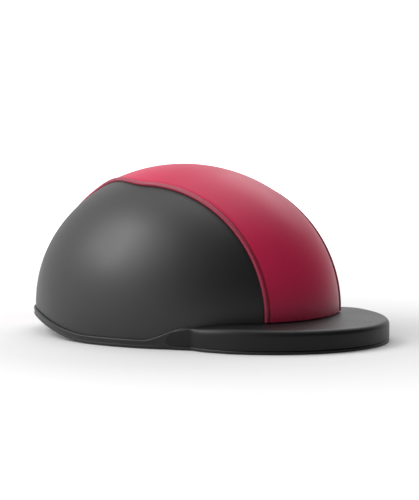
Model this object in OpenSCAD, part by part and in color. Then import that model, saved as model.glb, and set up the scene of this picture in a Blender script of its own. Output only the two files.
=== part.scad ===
/* [Crown] */
// Length of the crown over its side covers
crown_len = 262; // [255:1:270]
// Width of the crown over its side covers
crown_wid = 218; // [212:1:226]
// Height of the dome above its widest line
dome_h = 113; // [108:1:116]
// Height of the widest line above the surface the rim rests on
equator_z = 24; // [23:1:26]
// How far the wall tucks in between the widest line and the rim
wall_tuck = 2; // [0:0.5:3]
// How far the rim is cut up at the back
rear_rise = 13; // [10:1:14]

/* [Layers] */
// Thickness of the covers that are bonded over the shell
cover_t = 1; // [0.8:0.1:1.2]
// Thickness of the hard outer shell
shell_t = 2.6; // [2.2:0.1:3]
// Thickness of the crushable foam liner
liner_t = 18.2; // [17.8:0.1:18.4]
// Thickness of the comfort pads
pad_t = 6.2; // [5:0.1:6.4]

/* [Centre panel] */
// Width of the panel over the top of the crown
panel_w = 97; // [92:1:100]
// Width of the panel at the back of the crown
panel_rear_w = 33; // [30:1:44]
// How far the panel stands above the side covers
panel_raise = 1.5; // [1:0.1:2]
// Thickness of the piping along each edge of the panel
piping_d = 3.6; // [3:0.2:4]

/* [Rim trim] */
// Height of the rim trim along the peak
trim_h = 18.5; // [18:0.5:20]
// Height of the rim trim round the sides and back
trim_side_h = 7; // [7:0.1:7.2]
// How far the trim stands out from the covers
trim_proud = 1.8; // [1.5:0.1:2]

/* [Peak] */
// How far the peak reaches in front of the crown
peak_len = 50; // [44:1:55]
// Bearing of each end of the peak, from straight ahead
peak_angle = 56; // [54:1:62]
// How far the top of the peak slopes down to its lip
peak_drop = 2; // [1:0.5:4]
// Radius of the bend where the peak turns down into its lip
peak_bend = 5; // [4:0.5:6]

/* [Fit system] */
// Radius of the dial
knob_r = 16.5; // [15:0.1:16.5]
// Height of the dial's axis at rest
dial_z = 30; // [29:0.5:30]
// Module of the pinion and racks
gear_m = 1; // [1:1:1]
// Teeth on the pinion
pinion_teeth = 10; // [10:1:10]

/* [Harness] */
// Width of the front and rear webbing straps
strap_w = 15; // [12:1:16]
// Thickness of the webbing
webbing_t = 1.6; // [1.2:0.1:1.8]
// Distance of each harness fold line from the middle
fold_y = 64; // [62:1:65]

/* [Hidden] */
$fn = 48;

// Colours
satin_black = [0.07, 0.07, 0.07];
crimson = [0.6, 0.09, 0.17];
foam_grey = [0.75, 0.75, 0.74];
lining_grey = [0.16, 0.16, 0.17];
webbing_black = [0.05, 0.05, 0.05];
moulded_black = [0.1, 0.1, 0.11];
steel = [0.65, 0.66, 0.68];

// Crown surface: bearings run from straight ahead, 0, towards the wearer's left
crown_a = crown_len / 2;
crown_b = crown_wid / 2;
mm_per_degree = dome_h * PI / 180;
crown_x = (trim_proud - peak_len) / 2;
layer_gap = 0.4;
bond_gap = 0.6;
pad_gap = 0.8;
shell_out = -cover_t - bond_gap;
shell_in = shell_out - shell_t;
liner_out = shell_in - bond_gap;
liner_in = liner_out - liner_t;
pad_out = liner_in - pad_gap;
pad_in = pad_out - pad_t;
top_row = 84;
liner_low = 12;
recess_top = 58;
trim_floor = 2;
trim_inner_leg = 3.6;
panel_rear_z = 20.6;
panel_front_z = trim_h + 2.7;

// Peak section
peak_end_reach = 4.6;
peak_cover_t = 1;
peak_core_t = 2;
peak_gap = 0.3;
peak_foot = 3;
flange_in = trim_proud + layer_gap;
flange_out = flange_in + 2.2;
rivet_bearings = [-35, 0, 35];
peak_rivet_z = 12;
peak_rivet_r = 2;

// Harness
anchor_x = [42, -26];
anchor_z = 22;
anchor_rivet_r = 2.4;
anchor_stand = 2;
fold_z = 2.9;
stub_gap = 0.9;
strap_run = 42;
divider_v = [40, 60];
divider_x = 0;
chin_fold = [4.2, 60];
chin_offset = 2.6;
chin_w = 20;
buckle_t = 8.4;

// Fit system levels along x
knob_x = [-121.9, -114.6];
cover_x = [-114, -112.6];
tray_x = [-112.4, -104.4];
gear_x = [-111.8, -106.4];
cavity_floor_x = -106;
yoke_centre_x = -13;
yoke_r = 91.1;
rail_y = 23;
rail_x = [-117.6, -114.3];
rail_z = [12, 48];
bridge_x = -116.4;
bridge_z = [47, 54];
housing_half = [27, 16];
screw_yz = [14, 13.3];
pitch_r = gear_m * pinion_teeth / 2;
addendum = 0.7;
dedendum = 0.9;
pressure_angle = 25;
backlash = 0.2;
shaft_r = 2.5;
running_gap = 0.05;

// --- Functions ---------------------------------------------------------------

function smooth(t) = let (u = min(max(t, 0), 1)) u * u * (3 - 2 * u);
function mix(p, q, t) = p + (q - p) * t;
function rim_z(phi) = rear_rise * smooth((abs(phi) - 97) / 45);
function trim_top(phi) = rim_z(phi) + mix(trim_h, trim_side_h, smooth((abs(phi) - peak_angle - 1) / 18));
function tuck_at(z) = wall_tuck * pow(max(0, 1 - z / equator_z), 2);
function turned(phi) = phi > 180 ? phi - 360 : phi;

// A point off outside the crown surface at bearing phi and height z
function at_height(phi, z, off) =
    let (s = max(0, z - equator_z) / (dome_h + off), k = sqrt(max(0, 1 - s * s)))
    [(crown_a + off) * k * cos(phi) - tuck_at(z) * cos(phi),
     (crown_b + off) * k * sin(phi) - tuck_at(z) * sin(phi), z];

// The same surface by height angle; below the widest line the angle counts down the wall
function skin(phi, th, off) = th >= 0
    ? [(crown_a + off) * cos(th) * cos(phi), (crown_b + off) * cos(th) * sin(phi),
       equator_z + (dome_h + off) * sin(th)]
    : at_height(phi, equator_z + th * mm_per_degree, off);
function angle_at(z, off) = z >= equator_z
    ? asin((z - equator_z) / (dome_h + off)) : (z - equator_z) / mm_per_degree;

// Rows of points between two heights, or from a height to the row below the top
function rows_of(off, bearings, low, high, rows) =
    [for (i = [0:rows]) [for (phi = bearings)
        skin(phi, mix(angle_at(low(phi), off), high(phi, off), i / rows), off)]];
function to_top() = function (phi, off) top_row;
function to_height(z) = function (phi, off) angle_at(z, off);
function all_round(steps) = [for (j = [0:steps - 1]) turned(360 * j / steps)];
function spread(first, last, steps) = [for (j = [0:steps]) mix(first, last, j / steps)];

// Half width of the centre panel at a distance x ahead of the crown's middle
function panel_half(x) = mix(panel_w, panel_rear_w, smooth(-x / 82)) / 2;

// Height angle at which the meridian of bearing phi meets the panel's edge
function edge_angle(phi, gap, low = 0, high = 90, n = 18) = let (mid = (low + high) / 2) n == 0 ? mid
    : crown_b * cos(mid) * sin(phi) > panel_half(crown_a * cos(mid) * cos(phi)) + gap
        ? edge_angle(phi, gap, mid, high, n - 1) : edge_angle(phi, gap, low, mid, n - 1);

// Distance of the panel's edge from the middle, along the arc at angle alpha over the top
function edge_y(alpha, low = 0, high = 100, n = 18) = let (mid = (low + high) / 2) n == 0 ? mid
    : mid < panel_half(crown_a * sqrt(max(0, 1 - pow(mid / crown_b, 2))) * cos(alpha))
        ? edge_y(alpha, mid, high, n - 1) : edge_y(alpha, low, mid, n - 1);

// Bearing at which the panel's edge comes down to the widest line; low is on the cover, high on the panel
function edge_bearing(low, high, n = 18) = let (mid = (low + high) / 2) n == 0 ? mid
    : crown_b * sin(mid) > panel_half(crown_a * cos(mid))
        ? edge_bearing(mid, high, n - 1) : edge_bearing(low, mid, n - 1);

// A point of the crown at angle alpha over the top and y from the middle, or drop below it on the wall
function over_top(alpha, y, off, drop = 0) = let (
    k = sqrt(max(0, 1 - pow(y / (crown_b + off), 2))),
    z = equator_z + (dome_h + off) * k * sin(alpha) - drop)
    [((crown_a + off) * k - tuck_at(z)) * cos(alpha), y, z];

// Angles over the top, each with its drop; the first and last are low on the front and back walls
function panel_stations(steps) = concat([[0, equator_z - panel_front_z]],
    [for (alpha = spread(0, 180, steps)) [alpha, 0]], [[180, equator_z - panel_rear_z]]);

function normal_at(p) = let (n = [p.x / pow(crown_a, 2), p.y / pow(crown_b, 2),
    max(0, p.z - equator_z) / pow(dome_h, 2)]) n / norm(n);

// Reach of the peak outside the crown at a bearing
function reach(phi) = peak_end_reach
    + (peak_len - peak_end_reach) * pow(max(0, cos(phi * 90 / peak_angle)), 0.8);

function flat_list(rows) = [for (r = rows) each r];

// --- Solids built from points -------------------------------------------------

// Closed solid between two grids of one size, the first outside the second
module between(outer, inner, ring = false, tops = []) {
    m = len(outer);
    n = len(outer[0]);
    last = ring ? n - 1 : n - 2;
    function p(i, j) = i * n + j % n;
    function q(i, j) = m * n + p(i, j);
    skins = [for (i = [0:m - 2], j = [0:last]) each [
        [p(i, j), p(i + 1, j), p(i + 1, j + 1)], [p(i, j), p(i + 1, j + 1), p(i, j + 1)],
        [q(i, j), q(i + 1, j + 1), q(i + 1, j)], [q(i, j), q(i, j + 1), q(i + 1, j + 1)]]];
    low_edge = [for (j = [0:last]) each [
        [p(0, j), p(0, j + 1), q(0, j + 1)], [p(0, j), q(0, j + 1), q(0, j)]]];
    t = m - 1;
    top_edge = [for (j = [0:last]) each (len(tops) > 0
        ? [[p(t, j + 1), p(t, j), 2 * m * n], [q(t, j), q(t, j + 1), 2 * m * n + 1]]
        : [[p(t, j + 1), p(t, j), q(t, j)], [p(t, j + 1), q(t, j), q(t, j + 1)]])];
    e = n - 1;
    ends = ring ? [] : [for (i = [0:m - 2]) each [
        [p(i + 1, 0), p(i, 0), q(i, 0)], [p(i + 1, 0), q(i, 0), q(i + 1, 0)],
        [p(i, e), p(i + 1, e), q(i + 1, e)], [p(i, e), q(i + 1, e), q(i, e)]]];
    polyhedron(concat(flat_list(outer), flat_list(inner), tops), concat(skins, low_edge, top_edge, ends));
}

// Solid swept through sections of one point count, each anticlockwise along the way of travel
module swept(sections, ring = false) {
    m = len(sections);
    k = len(sections[0]);
    function p(i, j) = (i % m) * k + j % k;
    sides = [for (i = [0:(ring ? m - 1 : m - 2)], j = [0:k - 1]) each [
        [p(i, j), p(i, j + 1), p(i + 1, j + 1)], [p(i, j), p(i + 1, j + 1), p(i + 1, j)]]];
    caps = ring ? [] : [[for (j = [k - 1:-1:0]) p(0, j)], [for (j = [0:k - 1]) p(m - 1, j)]];
    polyhedron(flat_list(sections), concat(sides, caps));
}

// A section given as [offset from the crown, z] pairs, set at a bearing
function set_at(phi, section) = [for (s = section)
    [(crown_a + s[0]) * cos(phi), (crown_b + s[0]) * sin(phi), s[1]]];

// Puts children at the origin's place in the crown frame
module in_frame() {
    translate([crown_x, 0, 0]) children();
}

// Children stand on the crown's wall, +Z outwards and +X down
module on_wall(phi, z, off) {
    translate(at_height(phi, z, off))
        rotate([0, 90, atan2(sin(phi) / crown_b, cos(phi) / crown_a)]) children();
}

// Children drawn in the y, z plane and extruded from x[0] to x[1]
module along_x(x) {
    translate([x[0], 0, 0]) rotate([90, 0, 90]) linear_extrude(x[1] - x[0]) children();
}

module mirrored_y() {
    children();
    mirror([0, 1, 0]) children();
}

module rounded_rect(size, r) {
    for (s = [-1, 1]) translate([s * (size.x / 2 - r), 0]) square([2 * r, size.y - 2 * r], center = true);
    square([size.x - 2 * r, size.y], center = true);
    for (s = [-1, 1], t = [-1, 1]) translate([s * (size.x / 2 - r), t * (size.y / 2 - r)]) circle(r);
}

// --- Shell and covers ---------------------------------------------------------

module dome_layer(off_out, off_in, low, steps, rows) {
    bearings = all_round(steps);
    between(rows_of(off_out, bearings, low, to_top(), rows), rows_of(off_in, bearings, low, to_top(), rows),
        ring = true, tops = [skin(0, 90, off_out), skin(0, 90, off_in)]);
}

module outer_shell() {
    in_frame() color(moulded_black) difference() {
        dome_layer(shell_out, shell_in, function (phi) rim_z(phi) + trim_floor + layer_gap, 60, 12);
        anchor_places() {
            cylinder(h = 20, r = anchor_rivet_r + 0.1, center = true);
            translate([0, 0, shell_t - 1.3]) cylinder(h = 10, r = 4.4);
        }
        peak_rivet_places() cylinder(h = 20, r = peak_rivet_r + 0.1, center = true);
    }
}

module side_cover() {
    first = edge_bearing(89, 5) + 0.4;
    last = edge_bearing(91, 178) - 0.4;
    bearings = [for (j = [0:40]) mix(first, last, (1 - cos(4.5 * j)) / 2)];
    low = function (phi) max(trim_top(phi - 1.5), trim_top(phi + 1.5)) + layer_gap;
    high = function (phi, off) max(0.4, edge_angle(phi, bond_gap));
    between(rows_of(0, bearings, low, high, 9), rows_of(-cover_t, bearings, low, high, 9));
}

module side_cover_left() {
    in_frame() color(satin_black) side_cover();
}

module side_cover_right() {
    in_frame() color(satin_black) mirror([0, 1, 0]) side_cover();
}

module centre_panel() {
    function grid(off) = [for (s = panel_stations(40)) [for (v = spread(-1, 1, 8))
        over_top(s[0], v * edge_y(s[0]), off, s[1])]];
    in_frame() color(crimson) between(grid(panel_raise), grid(-cover_t));
}

module piping() {
    r = piping_d / 2;
    path = [for (s = panel_stations(56)) let (y = edge_y(s[0]), p = over_top(s[0], y, 0, s[1]))
        over_top(s[0], y + r + layer_gap, 0, s[1]) + normal_at(p) * (r + layer_gap / 2)];
    last = len(path) - 1;
    swept([for (i = [0:last]) let (ahead = path[min(last, i + 1)] - path[max(0, i - 1)],
            t = ahead / norm(ahead), side = cross(t, normal_at(path[i])), right = side / norm(side),
            up = cross(right, t))
        [for (b = [0:45:315]) path[i] + r * (cos(b) * right + sin(b) * up)]]);
}

module piping_left() {
    in_frame() color(crimson) piping();
}

module piping_right() {
    in_frame() color(crimson) mirror([0, 1, 0]) piping();
}

// U-shaped trim that grips the shell's lower edge all the way round
module edge_trim() {
    leg_in = shell_out + bond_gap;
    inner = shell_in - bond_gap;
    function section(zb, zt) = let (
        leg_top = max(zb + trim_floor + 0.4, trim_inner_leg), mid = (zb + zt) / 2) [
        [trim_proud, zb + 1], [trim_proud, mid], [trim_proud, zt - 1.4], [trim_proud - 0.5, zt - 0.4],
        [trim_proud - 1.3, zt], [leg_in, zt], [leg_in, mid], [leg_in, zb + trim_floor],
        [inner, zb + trim_floor], [inner, leg_top], [inner - 1.2, leg_top], [inner - 1.2, zb],
        [trim_proud - 1, zb]];
    function tucked(line) = [for (p = line) [p[0] - tuck_at(p[1]), p[1]]];
    in_frame() color(satin_black) difference() {
        swept([for (phi = all_round(72)) set_at(phi, tucked(section(rim_z(phi), trim_top(phi))))],
            ring = true);
        peak_rivet_places() cylinder(h = 20, r = peak_rivet_r + 0.1, center = true);
    }
}

// --- Peak ---------------------------------------------------------------------

// The peak's outer line at a bearing, inset by o, from its root over the bend to height foot
function peak_line(phi, o, root, foot) =
    let (d = reach(phi), top = trim_h + 2, fall = peak_drop * d / peak_len,
        r = min(peak_bend, 0.7 * (d - 0.4)), ri = max(0.2, r - o), lean = atan2(fall, d - r),
        cx = d - r, cz = top - fall - r)
    concat([[root, top - o - fall * max(0, root) / (d - r) * (root < cx ? 1 : 0)]],
        [for (b = [90 - lean:-(90 - lean) / 5:-0.01]) [cx + ri * cos(b) + (r - o - ri), cz + ri * sin(b)]],
        [[d - o, foot]]);

function peak_section(phi, o1, o2, root, foot) = let (
    outer = peak_line(phi, o1, root, foot), inner = peak_line(phi, o2, root, foot), n = len(inner))
    concat([for (i = [len(outer) - 1:-1:0]) outer[i]], inner);

module peak_sweep(o1, o2, root, foot, angle) {
    swept([for (phi = spread(-angle, angle, 40)) set_at(phi, peak_section(phi, o1, o2, root, foot))]);
}

module peak_cover() {
    in_frame() color(satin_black) peak_sweep(0, peak_cover_t, 0.5, peak_foot + 0.2, peak_angle);
}

// Height of the underside of the core's top sheet at a bearing and an offset from the crown
function core_under(phi, off) = let (line = peak_line(phi, peak_cover_t + peak_gap, flange_in, peak_foot))
    line[0][1] + (line[1][1] - line[0][1]) * (off - line[0][0]) / (line[1][0] - line[0][0]) - peak_core_t;

// The stiff core: a flange against the trim, the top sheet and the turned-down lip
module peak_core() {
    o1 = peak_cover_t + peak_gap;
    o2 = o1 + peak_core_t;
    function section(phi) = let (
        outer = peak_line(phi, o1, flange_in, peak_foot + 0.2),
        flange = min(flange_out, (flange_in + reach(phi) - o1) / 2 - 0.15),
        lip_in = max(reach(phi) - o2, flange + 0.3), bend_in = max(flange + 0.1, lip_in - 2))
        concat([for (i = [len(outer) - 1:-1:0]) outer[i]],
            [[flange_in, peak_foot + 1], [flange, peak_foot + 1],
             [flange, core_under(phi, flange)], [bend_in, core_under(phi, bend_in)],
             [lip_in, core_under(phi, bend_in) - 2], [lip_in, peak_foot + 0.2]]);
    in_frame() color(moulded_black) difference() {
        swept([for (phi = spread(-peak_angle, peak_angle, 40)) set_at(phi, section(phi))]);
        peak_rivet_places() cylinder(h = 20, r = peak_rivet_r + 0.1, center = true);
    }
}

// Thin lining under the peak's top sheet
module peak_lining() {
    function section(phi) = let (first = flange_out + 0.6, last = reach(phi) - 7,
        z0 = core_under(phi, first) - peak_gap, z1 = core_under(phi, last) - peak_gap)
        [[last, z1], [first, z0], [first, z0 - 1], [last, z1 - 1]];
    in_frame() color(lining_grey)
        swept([for (phi = spread(-44, 44, 32)) set_at(phi, section(phi))]);
}

// Bead round the peak's lower edge, which meets the surface the helmet stands on
module peak_binding() {
    function section(phi) = let (d = reach(phi), inner = max(d - 3.8, flange_in))
        [[d - 1, 0], [d, 1], [d, peak_foot], [inner, peak_foot], [inner, 0.8], [inner + 0.6, 0]];
    in_frame() color(satin_black)
        swept([for (phi = spread(-peak_angle, peak_angle, 40)) set_at(phi, section(phi))]);
}

module peak_rivet_places() {
    for (phi = rivet_bearings) on_wall(phi, peak_rivet_z, 0) children();
}

module peak_rivets() {
    outer_head = flange_out + tuck_at(peak_rivet_z) + 0.2;
    in_frame() color(steel) peak_rivet_places() {
        translate([0, 0, shell_in - 1.5]) cylinder(h = outer_head - shell_in + 2, r = peak_rivet_r);
        translate([0, 0, outer_head]) cylinder(h = 1.2, r = 3.6);
        translate([0, 0, shell_in - 1.9]) cylinder(h = 1.2, r = 3.6);
    }
}

// --- Liner and pads -----------------------------------------------------------

// Crushable foam; its lower edge is cut up high at the back to clear the fit system
module impact_liner() {
    low = function (phi) liner_low + (recess_top - liner_low) * smooth((abs(phi) - 114) / 16);
    in_frame() color(foam_grey) difference() {
        dome_layer(liner_out, liner_in, low, 72, 8);
        anchor_places() cube([40, 26, 11], center = true);
        for (phi = rivet_bearings) on_wall(phi, peak_rivet_z, shell_in) cube([12, 10, 7], center = true);
    }
}

module crown_pad() {
    bearings = all_round(36);
    low = function (phi) equator_z + 66;
    in_frame() color(lining_grey)
        between(rows_of(pad_out, bearings, low, to_top(), 4),
            rows_of(pad_out - 4, bearings, low, to_top(), 4),
            ring = true, tops = [skin(0, 90, pad_out), skin(0, 90, pad_out - 4)]);
}

module wall_pad(first, last, top) {
    bearings = spread(first, last, 20);
    low = function (phi) liner_low;
    between(rows_of(pad_out, bearings, low, to_height(top), 5),
        rows_of(pad_in, bearings, low, to_height(top), 5));
}

module front_pad() {
    in_frame() color(lining_grey) wall_pad(-60, 60, 52);
}

module side_pad_left() {
    in_frame() color(lining_grey) wall_pad(63, 113, 48);
}

module side_pad_right() {
    in_frame() color(lining_grey) wall_pad(-113, -63, 48);
}

// --- Harness fixings ----------------------------------------------------------

// Children stand inside the shell's inner face at each anchor; the left pair and the right pair
module anchor_places(stand = 0) {
    for (x = anchor_x, side = [1, -1])
        on_wall(side * acos(x / (crown_a + shell_in)), anchor_z, shell_in)
            translate([0, 0, -stand]) children();
}

module harness_anchors() {
    foot_z = 5.4;
    in_frame() color(steel) anchor_places(anchor_stand) difference() {
        union() {
            translate([-8, -10, -1.5]) cube([anchor_z - foot_z + 9.5, 20, 1.5]);
            translate([anchor_z - foot_z, -10, -14]) cube([1.5, 20, 13]);
        }
        translate([0, 0, -3]) cylinder(h = 6, r = anchor_rivet_r + 0.1);
        translate([anchor_z - foot_z - 3, 0, -9]) rotate([0, 90, 0]) cylinder(h = 6, r = 1.6);
    }
}

module harness_rivets() {
    in_frame() color(steel) anchor_places(anchor_stand) {
        translate([0, 0, -2.9]) cylinder(h = anchor_stand + shell_t + 2.3, r = anchor_rivet_r);
        translate([0, 0, anchor_stand + shell_t - 1.1]) cylinder(h = 0.9, r = 4.2);
        translate([0, 0, 0.1]) cylinder(h = anchor_stand - 0.7, r = 4.2);
        translate([0, 0, -2.9]) cylinder(h = 1.3, r = 4.2);
    }
}

module tail_rivet_places() {
    anchor_places(anchor_stand) translate([anchor_z, 0, -9]) rotate([0, -90, 0]) children();
}

// The fixed end of each strap, clamped under its anchor and led to the fold line
module strap_tails() {
    in_frame() color(webbing_black) difference() {
        for (x = anchor_x) mirrored_y()
            translate([x - strap_w / 2, fold_y + stub_gap, fold_z - webbing_t / 2])
                cube([strap_w, 25.4, webbing_t]);
        tail_rivet_places() cylinder(h = 30, r = 1.6, center = true);
    }
}

module tail_rivets() {
    in_frame() color(steel) tail_rivet_places() {
        translate([0, 0, 0.9]) cylinder(h = 5.5, r = 1.5);
        translate([0, 0, 0.9]) cylinder(h = 1, r = 3);
        translate([0, 0, 5.5]) cylinder(h = 0.9, r = 3);
    }
}

// --- Fit system ---------------------------------------------------------------

// Two rails and a bridge, behind the housing, that the cradle slides up and down on
module cradle_track() {
    in_frame() color(moulded_black) difference() {
        union() {
            mirrored_y() translate([rail_x[0], rail_y - 3.5, rail_z[0]])
                cube([rail_x[1] - rail_x[0], 7, rail_z[1] - rail_z[0]]);
            translate([bridge_x, -rail_y - 3.5, bridge_z[0]])
                cube([rail_x[1] - bridge_x, 2 * rail_y + 7, bridge_z[1] - bridge_z[0]]);
        }
        mirrored_y() translate([-116.8, rail_y - 2.4, rail_z[0] - 1]) cube([1.5, 4.8, 35]);
        mirrored_y() translate([-115.5, rail_y - 1.3, rail_z[0] - 1]) cube([3, 2.6, 35]);
        screw_places_track() cylinder(h = 12, r = 1.6, center = true);
    }
}

module screw_places_track() {
    for (y = [-12, 12])
        translate([rail_x[1], y, (bridge_z[0] + bridge_z[1]) / 2]) rotate([0, 90, 0]) children();
}

module track_feet() {
    in_frame() color(moulded_black) difference() {
        for (y = [-12, 12]) translate([bridge_x - 2.9, y - 4, bridge_z[0]])
            cube([2.8, 8, bridge_z[1] - bridge_z[0]]);
        screw_places_track() cylinder(h = 14, r = 1.4, center = true);
    }
}

module track_screws() {
    in_frame() color(steel) screw_places_track() {
        translate([0, 0, -4.8]) cylinder(h = 5, r = 1.3);
        translate([0, 0, 0.1]) cylinder(h = 1.4, r = 2.6);
    }
}

module at_dial() {
    translate([0, 0, dial_z]) children();
}

module housing_screw_places() {
    for (s = [-1, 1], t = [-1, 1]) translate([0, s * screw_yz[0], t * screw_yz[1]]) children();
}

// Open tray that holds the pinion and both racks
module gear_housing() {
    in_frame() color(moulded_black) at_dial() difference() {
        along_x(tray_x) rounded_rect(2 * housing_half, 5);
        along_x([tray_x[0] - 1, cavity_floor_x]) square([48, 21.2], center = true);
        for (s = [-1, 1]) along_x([tray_x[0] - 1, cavity_floor_x])
            translate([s * 25, s * 7.95]) square([8, 5.3], center = true);
        translate([cavity_floor_x - 1, 0, 0]) rotate([0, 90, 0]) cylinder(h = 1.9, r = 1.5 + running_gap);
        housing_screw_places() translate([tray_x[0] - 1, 0, 0]) rotate([0, 90, 0]) cylinder(h = 6, r = 1.1);
    }
}

// Lid of the housing, with the two T-shaped runners that ride in the rails
module housing_cover() {
    in_frame() color(moulded_black) at_dial() difference() {
        union() {
            along_x(cover_x) rounded_rect(2 * housing_half, 5);
            mirrored_y() translate([-115.6, rail_y - 1, 8]) cube([2, 2, 7]);
            mirrored_y() translate([-116.6, rail_y - 2.1, 8]) cube([1.1, 4.2, 7]);
        }
        translate([cover_x[0] - 1, 0, 0]) rotate([0, 90, 0]) cylinder(h = 4, r = shaft_r + running_gap);
        housing_screw_places() translate([cover_x[0] - 1, 0, 0]) rotate([0, 90, 0]) cylinder(h = 4, r = 1.3);
    }
}

module housing_screws() {
    in_frame() color(steel) at_dial() housing_screw_places() rotate([0, 90, 0]) {
        translate([0, 0, cover_x[0] - 0.1]) cylinder(h = 5.6, r = 1);
        translate([0, 0, cover_x[0] - 1.3]) cylinder(h = 1.25, r = 2.1);
    }
}

// Curved plate that carries the nape pad, fixed to the front of the housing
module cradle_frame() {
    half_angle = asin(38 / yoke_r);
    in_frame() color(moulded_black) at_dial() {
        translate([yoke_centre_x, 0, -19]) rotate([0, 0, 180 - half_angle])
            rotate_extrude(angle = 2 * half_angle, $fn = 96) translate([yoke_r - 2, 0]) square([2, 38]);
        translate([-104.3, -8, -8]) cube([1.6, 16, 16]);
    }
}

module nape_pad() {
    half_angle = asin(36 / yoke_r);
    in_frame() color(lining_grey) at_dial() translate([yoke_centre_x, 0, -17])
        rotate([0, 0, 180 - half_angle]) rotate_extrude(angle = 2 * half_angle, $fn = 96)
            translate([yoke_r - 7.2, 0]) square([5, 34]);
}

module dial_knob() {
    grooves = 16;
    in_frame() color(moulded_black) at_dial() difference() {
        union() {
            translate([knob_x[0], 0, 0]) rotate([0, 90, 0])
                cylinder(h = knob_x[1] - knob_x[0] - 1.5, r = knob_r, $fn = 96);
            translate([knob_x[1] - 1.5, 0, 0]) rotate([0, 90, 0])
                cylinder(h = 1.5, r = knob_r - 2, $fn = 96);
        }
        for (k = [0:grooves - 1]) rotate([k * 360 / grooves, 0, 0])
            translate([knob_x[0] - 1, 0, knob_r + 0.9]) rotate([0, 90, 0]) cylinder(h = 9, r = 2);
        translate([knob_x[0] + 2, 0, 0]) rotate([0, 90, 0]) cylinder(h = 20, r = shaft_r + running_gap);
        translate([knob_x[0] - 1, 0, 0]) rotate([0, 90, 0]) cylinder(h = 4, r = 1.3);
        translate([knob_x[0] - 1, 0, 0]) rotate([0, 90, 0]) cylinder(h = 2.3, r = 2.8);
    }
}

function involute_of(angle) = tan(angle) - angle * PI / 180;
function tooth_half_angle(r) = let (base = pitch_r * cos(pressure_angle), at = acos(min(1, base / r)))
    ((PI * gear_m - backlash) / 4 / pitch_r + involute_of(pressure_angle) - involute_of(at)) * 180 / PI;

module pinion_outline() {
    root = pitch_r - dedendum;
    base = pitch_r * cos(pressure_angle);
    radii = [root, base + 0.01, base + 0.2, pitch_r, pitch_r + addendum / 2, pitch_r + addendum];
    polygon([for (k = [0:pinion_teeth - 1]) let (mid = 90 + k * 360 / pinion_teeth) each concat(
        [for (r = radii) let (h = tooth_half_angle(max(r, base))) r * [cos(mid - h), sin(mid - h)]],
        [for (i = [len(radii) - 1:-1:0]) let (r = radii[i], h = tooth_half_angle(max(r, base)))
            r * [cos(mid + h), sin(mid + h)]])]);
}

module dial_shaft() {
    in_frame() color(steel) at_dial() difference() {
        union() {
            along_x([gear_x[0], gear_x[1]]) pinion_outline();
            translate([knob_x[0] + 2.2, 0, 0]) rotate([0, 90, 0])
                cylinder(h = gear_x[0] - knob_x[0] - 2, r = shaft_r);
            translate([gear_x[1] - 0.2, 0, 0]) rotate([0, 90, 0]) cylinder(h = 1.2, r = 1.5);
        }
        translate([knob_x[0], 0, 0]) rotate([0, 90, 0]) cylinder(h = 8, r = 1.2);
    }
}

module dial_screw() {
    in_frame() color(steel) at_dial() translate([knob_x[0], 0, 0]) rotate([0, 90, 0]) {
        translate([0, 0, 0.2]) cylinder(h = 1, r = 2.5);
        cylinder(h = 7, r = 1.1);
    }
}

function bezier(a, b, c, d, t) = pow(1 - t, 3) * a + 3 * t * pow(1 - t, 2) * b
    + 3 * t * t * (1 - t) * c + t * t * t * d;

// A rack above the pinion and the curved band it draws round the head
module band() {
    strip_t = 1.6;
    a = [-109, 41.4];
    b = [-109, 50];
    c = [-100, 61];
    d = [-62, 67.5];
    line = [for (t = spread(0, 1, 12)) bezier(a, b, c, d, t)];
    normals = [for (i = [0:len(line) - 1]) let (v = line[min(len(line) - 1, i + 1)] - line[max(0, i - 1)])
        [-v.y, v.x] / norm(v) * strip_t / 2];
    pitch = PI * gear_m;
    half = PI * gear_m / 4 - backlash / 4;
    slope = tan(pressure_angle);
    along_x([gear_x[0] + 0.2, gear_x[1] - 0.2]) polygon(concat([[-8, 10], [-8, pitch_r + dedendum]],
        [for (k = [-2:5]) let (y = (k + 0.5) * pitch) each [
            [y - half - dedendum * slope, pitch_r + dedendum],
            [y - half + addendum * slope, pitch_r - addendum],
            [y + half - addendum * slope, pitch_r - addendum],
            [y + half + dedendum * slope, pitch_r + dedendum]]],
        [[41.5, pitch_r + dedendum], [41.5, 10]]));
    translate([0, 0, -7]) linear_extrude(17) polygon(concat(
        [for (i = [0:len(line) - 1]) line[i] + normals[i]],
        [for (i = [len(line) - 1:-1:0]) line[i] - normals[i]]));
    translate([d.x, d.y, -7]) cylinder(h = 17, r = strip_t / 2);
}

module band_left() {
    in_frame() color(moulded_black) at_dial() band();
}

module band_right() {
    in_frame() color(moulded_black) at_dial() rotate([180, 0, 0]) band();
}

// --- Harness ------------------------------------------------------------------

// Children of the left flap: X along the fold line, Z away from it, Y on the chin side
module on_flap() {
    translate([0, fold_y, fold_z]) rotate([90, 0, 0]) children();
}

// Children folded back along the flap: Z away from the chin fold is negative
module on_chin() {
    on_flap() translate([divider_x, chin_fold[0], chin_fold[1]]) children();
}

module flat_strip(points, t) {
    translate([0, t / 2, 0]) rotate([90, 0, 0]) linear_extrude(t) polygon(points);
}

module flap_strap(x) {
    top = divider_x + sign(x) * 5.5;
    h = strap_w / 2;
    flat_strip([[x - h, stub_gap], [x + h, stub_gap], [top + 5, strap_run], [top - 5, strap_run]],
        webbing_t);
}

module ear_divider() {
    v = divider_v;
    difference() {
        translate([divider_x, 2.2, (v[0] + v[1]) / 2]) rotate([90, 0, 0])
            linear_extrude(4.4) rounded_rect([26, v[1] - v[0]], 4);
        for (s = [-1, 1]) translate([divider_x + s * 6.4, 0, v[0]])
            cube([12.6, webbing_t + 0.3, 5], center = true);
        translate([divider_x, 0, v[1] - 5]) cube([chin_w - 2, 10, 3], center = true);
    }
}

module front_strap_left() {
    in_frame() color(webbing_black) on_flap() flap_strap(anchor_x[0]);
}

module rear_strap_left() {
    in_frame() color(webbing_black) on_flap() flap_strap(anchor_x[1]);
}

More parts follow.
